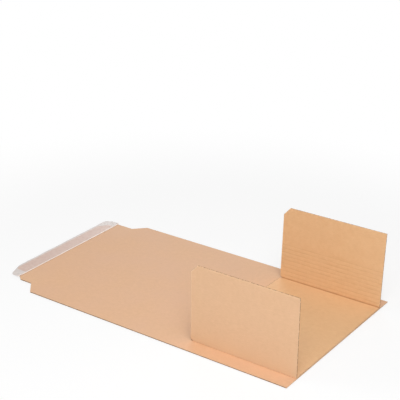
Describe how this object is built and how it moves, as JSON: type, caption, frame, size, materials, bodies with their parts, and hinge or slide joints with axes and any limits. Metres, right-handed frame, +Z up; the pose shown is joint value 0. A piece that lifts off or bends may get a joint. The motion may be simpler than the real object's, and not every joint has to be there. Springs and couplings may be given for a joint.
{
  "type": "book wrap mailer",
  "caption": "Open book wrap mailer of thin corrugated board: a long wrap with a narrower self-seal end, and a glued-on insert whose side flaps fold in over the book.",
  "frame": {"origin": "middle of the whole length and width, on the surface that the wrap lies on", "axes": "+X along the wrap towards its open end, +Y across it, +Z up"},
  "size_m": [0.683, 0.37, 0.1537],
  "materials": {
    "wrap_board": "uncoated kraft, matte",
    "insert_board": "uncoated kraft, matte",
    "adhesive": "tacky, clear to pinkish",
    "liner": "silicone release paper, satin, translucent white"
  },
  "bodies": {
    "wrap": {"outer_wrap": "wrap_board", "insert_base": "insert_board", "adhesive_strip": "adhesive", "release_liner": "liner"},
    "near_flap": {"near_side_flap": "insert_board"},
    "far_flap": {"far_side_flap": "insert_board"}
  },
  "joints": [
    {"name": "near_flap_crease", "type": "hinge", "parent": "wrap", "child": "near_flap", "pos_m": [0.231, -0.151, 0.0032], "axis": [-1, 0, 0], "range_deg": [-91, 89]},
    {"name": "far_flap_crease", "type": "hinge", "parent": "wrap", "child": "far_flap", "pos_m": [0.231, 0.151, 0.0032], "axis": [1, 0, 0], "range_deg": [-87, 93]}
  ]
}
